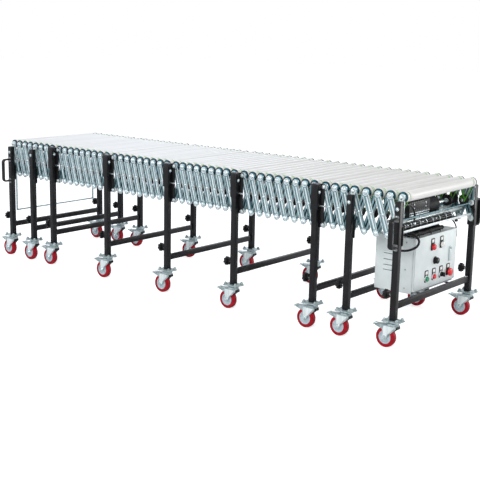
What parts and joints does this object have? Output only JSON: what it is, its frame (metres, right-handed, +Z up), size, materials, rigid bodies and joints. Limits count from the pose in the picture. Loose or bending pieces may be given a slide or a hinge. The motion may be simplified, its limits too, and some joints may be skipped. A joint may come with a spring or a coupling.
{
  "type": "flexible roller conveyor",
  "caption": "Powered flexible roller conveyor: rollers on folding scissor links, carried by wheeled leg frames, with a control cabinet under the drive end.",
  "frame": {"origin": "middle of the footprint, on the floor", "axes": "+X along the conveyor towards the drive end, +Y across it towards the far side, +Z up"},
  "size_m": [2.9672, 0.886, 0.741],
  "materials": {
    "black_powder_coated_steel": "satin powder coat",
    "galvanised_steel": "bright zinc plating",
    "roller_tube": "off-white coated steel tube",
    "red_polyurethane": "moulded polyurethane",
    "light_grey_sheet": "light grey powder coat",
    "motor_black": "black enamel",
    "cable_rubber": "moulded rubber",
    "black_plastic": "moulded plastic",
    "green_plastic": "moulded plastic",
    "red_plastic": "moulded plastic"
  },
  "bodies": {
    "drive_end": {"leg_frame_9": "black_powder_coated_steel", "scissor_lattice_6": "galvanised_steel", "roller_set_6": "roller_tube", "cabinet_body": "light_grey_sheet", "drive_carrier": "galvanised_steel", "drive_motor": "motor_black", "control_cable": "cable_rubber", "supply_cable": "cable_rubber"},
    "frame_8": {"leg_frame_8": "black_powder_coated_steel"},
    "frame_7": {"leg_frame_7": "black_powder_coated_steel", "scissor_lattice_5": "galvanised_steel", "roller_set_5": "roller_tube"},
    "frame_6": {"leg_frame_6": "black_powder_coated_steel", "scissor_lattice_4": "galvanised_steel", "roller_set_4": "roller_tube"},
    "frame_5": {"leg_frame_5": "black_powder_coated_steel", "scissor_lattice_3": "galvanised_steel", "roller_set_3": "roller_tube"},
    "frame_4": {"leg_frame_4": "black_powder_coated_steel", "scissor_lattice_2": "galvanised_steel", "roller_set_2": "roller_tube"},
    "frame_3": {"leg_frame_3": "black_powder_coated_steel", "scissor_lattice_1": "galvanised_steel", "roller_set_1": "roller_tube"},
    "frame_2": {"leg_frame_2": "black_powder_coated_steel"},
    "frame_1": {"leg_frame_1": "black_powder_coated_steel", "free_end_hanger": "galvanised_steel"},
    "inner_leg_1_near": {"inner_leg_1_near": "black_powder_coated_steel"},
    "fork_1_near": {"caster_fork_1_near": "galvanised_steel"},
    "inner_leg_1_far": {"inner_leg_1_far": "black_powder_coated_steel"},
    "fork_1_far": {"caster_fork_1_far": "galvanised_steel"},
    "inner_leg_9_near": {"inner_leg_9_near": "black_powder_coated_steel"},
    "fork_9_near": {"caster_fork_9_near": "galvanised_steel"},
    "inner_leg_9_far": {"inner_leg_9_far": "black_powder_coated_steel"},
    "fork_9_far": {"caster_fork_9_far": "galvanised_steel"},
    "wheel_1_near": {"wheel_1_near": "red_polyurethane"},
    "wheel_1_far": {"wheel_1_far": "red_polyurethane"},
    "wheel_2_near": {"wheel_2_near": "red_polyurethane"},
    "wheel_2_far": {"wheel_2_far": "red_polyurethane"},
    "wheel_3_near": {"wheel_3_near": "red_polyurethane"},
    "wheel_3_far": {"wheel_3_far": "red_polyurethane"},
    "wheel_4_near": {"wheel_4_near": "red_polyurethane"},
    "wheel_4_far": {"wheel_4_far": "red_polyurethane"},
    "wheel_5_near": {"wheel_5_near": "red_polyurethane"},
    "wheel_5_far": {"wheel_5_far": "red_polyurethane"},
    "wheel_6_near": {"wheel_6_near": "red_polyurethane"},
    "wheel_6_far": {"wheel_6_far": "red_polyurethane"},
    "wheel_7_near": {"wheel_7_near": "red_polyurethane"},
    "wheel_7_far": {"wheel_7_far": "red_polyurethane"},
    "wheel_8_near": {"wheel_8_near": "red_polyurethane"},
    "wheel_8_far": {"wheel_8_far": "red_polyurethane"},
    "wheel_9_near": {"wheel_9_near": "red_polyurethane"},
    "wheel_9_far": {"wheel_9_far": "red_polyurethane"},
    "door": {"cabinet_door": "light_grey_sheet"},
    "latch": {"door_latch": "galvanised_steel"},
    "start_button": {"start_button": "green_plastic"},
    "stop_button": {"stop_button": "red_plastic"},
    "mode_selector": {"mode_selector": "black_plastic"},
    "speed_dial": {"speed_dial": "black_plastic"},
    "emergency_stop": {"emergency_stop": "red_plastic"}
  },
  "joints": [
    {"name": "frame_8_slide", "type": "slide", "parent": "drive_end", "child": "frame_8", "axis": [-1, 0, 0], "range_m": [0, 0.216], "deforming": ["scissor_lattice_6"]},
    {"name": "frame_7_slide", "type": "slide", "parent": "frame_8", "child": "frame_7", "axis": [-1, 0, 0], "range_m": [0, 0.162]},
    {"name": "frame_6_slide", "type": "slide", "parent": "frame_7", "child": "frame_6", "axis": [-1, 0, 0], "range_m": [0, 0.432], "deforming": ["scissor_lattice_5"]},
    {"name": "frame_5_slide", "type": "slide", "parent": "frame_6", "child": "frame_5", "axis": [-1, 0, 0], "range_m": [0, 0.432], "deforming": ["scissor_lattice_4"]},
    {"name": "frame_4_slide", "type": "slide", "parent": "frame_5", "child": "frame_4", "axis": [-1, 0, 0], "range_m": [0, 0.432], "deforming": ["scissor_lattice_3"]},
    {"name": "frame_3_slide", "type": "slide", "parent": "frame_4", "child": "frame_3", "axis": [-1, 0, 0], "range_m": [0, 0.432], "deforming": ["scissor_lattice_2"]},
    {"name": "frame_2_slide", "type": "slide", "parent": "frame_3", "child": "frame_2", "axis": [-1, 0, 0], "range_m": [0, 0.162], "deforming": ["scissor_lattice_1"]},
    {"name": "frame_1_slide", "type": "slide", "parent": "frame_2", "child": "frame_1", "axis": [-1, 0, 0], "range_m": [0, 0.216]},
    {"name": "leg_1_near_height", "type": "slide", "parent": "frame_1", "child": "inner_leg_1_near", "axis": [0, 0, -1], "range_m": [0, 0.25]},
    {"name": "fork_1_near_swivel", "type": "hinge", "parent": "inner_leg_1_near", "child": "fork_1_near", "pos_m": [-1.3806, -0.373, 0.12], "axis": [0, 0, 1], "continuous": true},
    {"name": "wheel_1_near_spin", "type": "hinge", "parent": "fork_1_near", "child": "wheel_1_near", "pos_m": [-1.4146, -0.373, 0.05], "axis": [0, 1, 0], "continuous": true},
    {"name": "leg_1_far_height", "type": "slide", "parent": "frame_1", "child": "inner_leg_1_far", "axis": [0, 0, -1], "range_m": [0, 0.25]},
    {"name": "fork_1_far_swivel", "type": "hinge", "parent": "inner_leg_1_far", "child": "fork_1_far", "pos_m": [-1.3806, 0.373, 0.12], "axis": [0, 0, 1], "continuous": true},
    {"name": "wheel_1_far_spin", "type": "hinge", "parent": "fork_1_far", "child": "wheel_1_far", "pos_m": [-1.4146, 0.373, 0.05], "axis": [0, 1, 0], "continuous": true},
    {"name": "wheel_2_near_spin", "type": "hinge", "parent": "frame_2", "child": "wheel_2_near", "pos_m": [-1.2066, -0.373, 0.05], "axis": [0, 1, 0], "continuous": true},
    {"name": "wheel_2_far_spin", "type": "hinge", "parent": "frame_2", "child": "wheel_2_far", "pos_m": [-1.2066, 0.373, 0.05], "axis": [0, 1, 0], "continuous": true},
    {"name": "wheel_3_near_spin", "type": "hinge", "parent": "frame_3", "child": "wheel_3_near", "pos_m": [-1.0176, -0.373, 0.05], "axis": [0, 1, 0], "continuous": true},
    {"name": "wheel_3_far_spin", "type": "hinge", "parent": "frame_3", "child": "wheel_3_far", "pos_m": [-1.0176, 0.373, 0.05], "axis": [0, 1, 0], "continuous": true},
    {"name": "wheel_4_near_spin", "type": "hinge", "parent": "frame_4", "child": "wheel_4_near", "pos_m": [-0.5356, -0.373, 0.05], "axis": [0, 1, 0], "continuous": true},
    {"name": "wheel_4_far_spin", "type": "hinge", "parent": "frame_4", "child": "wheel_4_far", "pos_m": [-0.5356, 0.373, 0.05], "axis": [0, 1, 0], "continuous": true},
    {"name": "wheel_5_near_spin", "type": "hinge", "parent": "frame_5", "child": "wheel_5_near", "pos_m": [-0.0536, -0.373, 0.05], "axis": [0, 1, 0], "continuous": true},
    {"name": "wheel_5_far_spin", "type": "hinge", "parent": "frame_5", "child": "wheel_5_far", "pos_m": [-0.0536, 0.373, 0.05], "axis": [0, 1, 0], "continuous": true},
    {"name": "wheel_6_near_spin", "type": "hinge", "parent": "frame_6", "child": "wheel_6_near", "pos_m": [0.4284, -0.373, 0.05], "axis": [0, 1, 0], "continuous": true},
    {"name": "wheel_6_far_spin", "type": "hinge", "parent": "frame_6", "child": "wheel_6_far", "pos_m": [0.4284, 0.373, 0.05], "axis": [0, 1, 0], "continuous": true},
    {"name": "wheel_7_near_spin", "type": "hinge", "parent": "frame_7", "child": "wheel_7_near", "pos_m": [0.93952, -0.373, 0.05], "axis": [0, 1, 0], "continuous": true},
    {"name": "wheel_7_far_spin", "type": "hinge", "parent": "frame_7", "child": "wheel_7_far", "pos_m": [0.93952, 0.373, 0.05], "axis": [0, 1, 0], "continuous": true},
    {"name": "wheel_8_near_spin", "type": "hinge", "parent": "frame_8", "child": "wheel_8_near", "pos_m": [1.13944, -0.373, 0.05], "axis": [0, 1, 0], "continuous": true},
    {"name": "wheel_8_far_spin", "type": "hinge", "parent": "frame_8", "child": "wheel_8_far", "pos_m": [1.13944, 0.373, 0.05], "axis": [0, 1, 0], "continuous": true},
    {"name": "leg_9_near_height", "type": "slide", "parent": "drive_end", "child": "inner_leg_9_near", "axis": [0, 0, -1], "range_m": [0, 0.25]},
    {"name": "fork_9_near_swivel", "type": "hinge", "parent": "inner_leg_9_near", "child": "fork_9_near", "pos_m": [1.4376, -0.373, 0.12], "axis": [0, 0, 1], "continuous": true},
    {"name": "wheel_9_near_spin", "type": "hinge", "parent": "fork_9_near", "child": "wheel_9_near", "pos_m": [1.4036, -0.373, 0.05], "axis": [0, 1, 0], "continuous": true},
    {"name": "leg_9_far_height", "type": "slide", "parent": "drive_end", "child": "inner_leg_9_far", "axis": [0, 0, -1], "range_m": [0, 0.25]},
    {"name": "fork_9_far_swivel", "type": "hinge", "parent": "inner_leg_9_far", "child": "fork_9_far", "pos_m": [1.4376, 0.373, 0.12], "axis": [0, 0, 1], "continuous": true},
    {"name": "wheel_9_far_spin", "type": "hinge", "parent": "fork_9_far", "child": "wheel_9_far", "pos_m": [1.4036, 0.373, 0.05], "axis": [0, 1, 0], "continuous": true},
    {"name": "door_swing", "type": "hinge", "parent": "drive_end", "child": "door", "pos_m": [1.3976, -0.148, 0.3475], "axis": [0, 0, -1], "range_deg": [0, 95]},
    {"name": "latch_turn", "type": "hinge", "parent": "door", "child": "latch", "pos_m": [1.4096, 0.19892, 0.3923], "axis": [1, 0, 0], "range_deg": [0, 90]},
    {"name": "start_button_press", "type": "slide", "parent": "door", "child": "start_button", "axis": [-1, 0, 0], "range_m": [0, 0.003], "stiffness_N_per_m": 400},
    {"name": "stop_button_press", "type": "slide", "parent": "door", "child": "stop_button", "axis": [-1, 0, 0], "range_m": [0, 0.003], "stiffness_N_per_m": 400},
    {"name": "emergency_stop_press", "type": "slide", "parent": "door", "child": "emergency_stop", "axis": [-1, 0, 0], "range_m": [0, 0.005]},
    {"name": "mode_selector_turn", "type": "hinge", "parent": "door", "child": "mode_selector", "pos_m": [1.4096, 0.11671, 0.26884], "axis": [1, 0, 0], "range_deg": [-45, 45]},
    {"name": "speed_dial_turn", "type": "hinge", "parent": "door", "child": "speed_dial", "pos_m": [1.4096, 0.05024, 0.35026], "axis": [1, 0, 0], "range_deg": [0, 270]}
  ],
  "couplings": [
    {"joint": "frame_7_slide", "follows": "frame_8_slide", "ratio": 0.75},
    {"joint": "frame_6_slide", "follows": "frame_8_slide", "ratio": 2},
    {"joint": "frame_5_slide", "follows": "frame_8_slide", "ratio": 2},
    {"joint": "frame_4_slide", "follows": "frame_8_slide", "ratio": 2},
    {"joint": "frame_3_slide", "follows": "frame_8_slide", "ratio": 2},
    {"joint": "frame_2_slide", "follows": "frame_8_slide", "ratio": 0.75},
    {"joint": "frame_1_slide", "follows": "frame_8_slide", "ratio": 1}
  ]
}
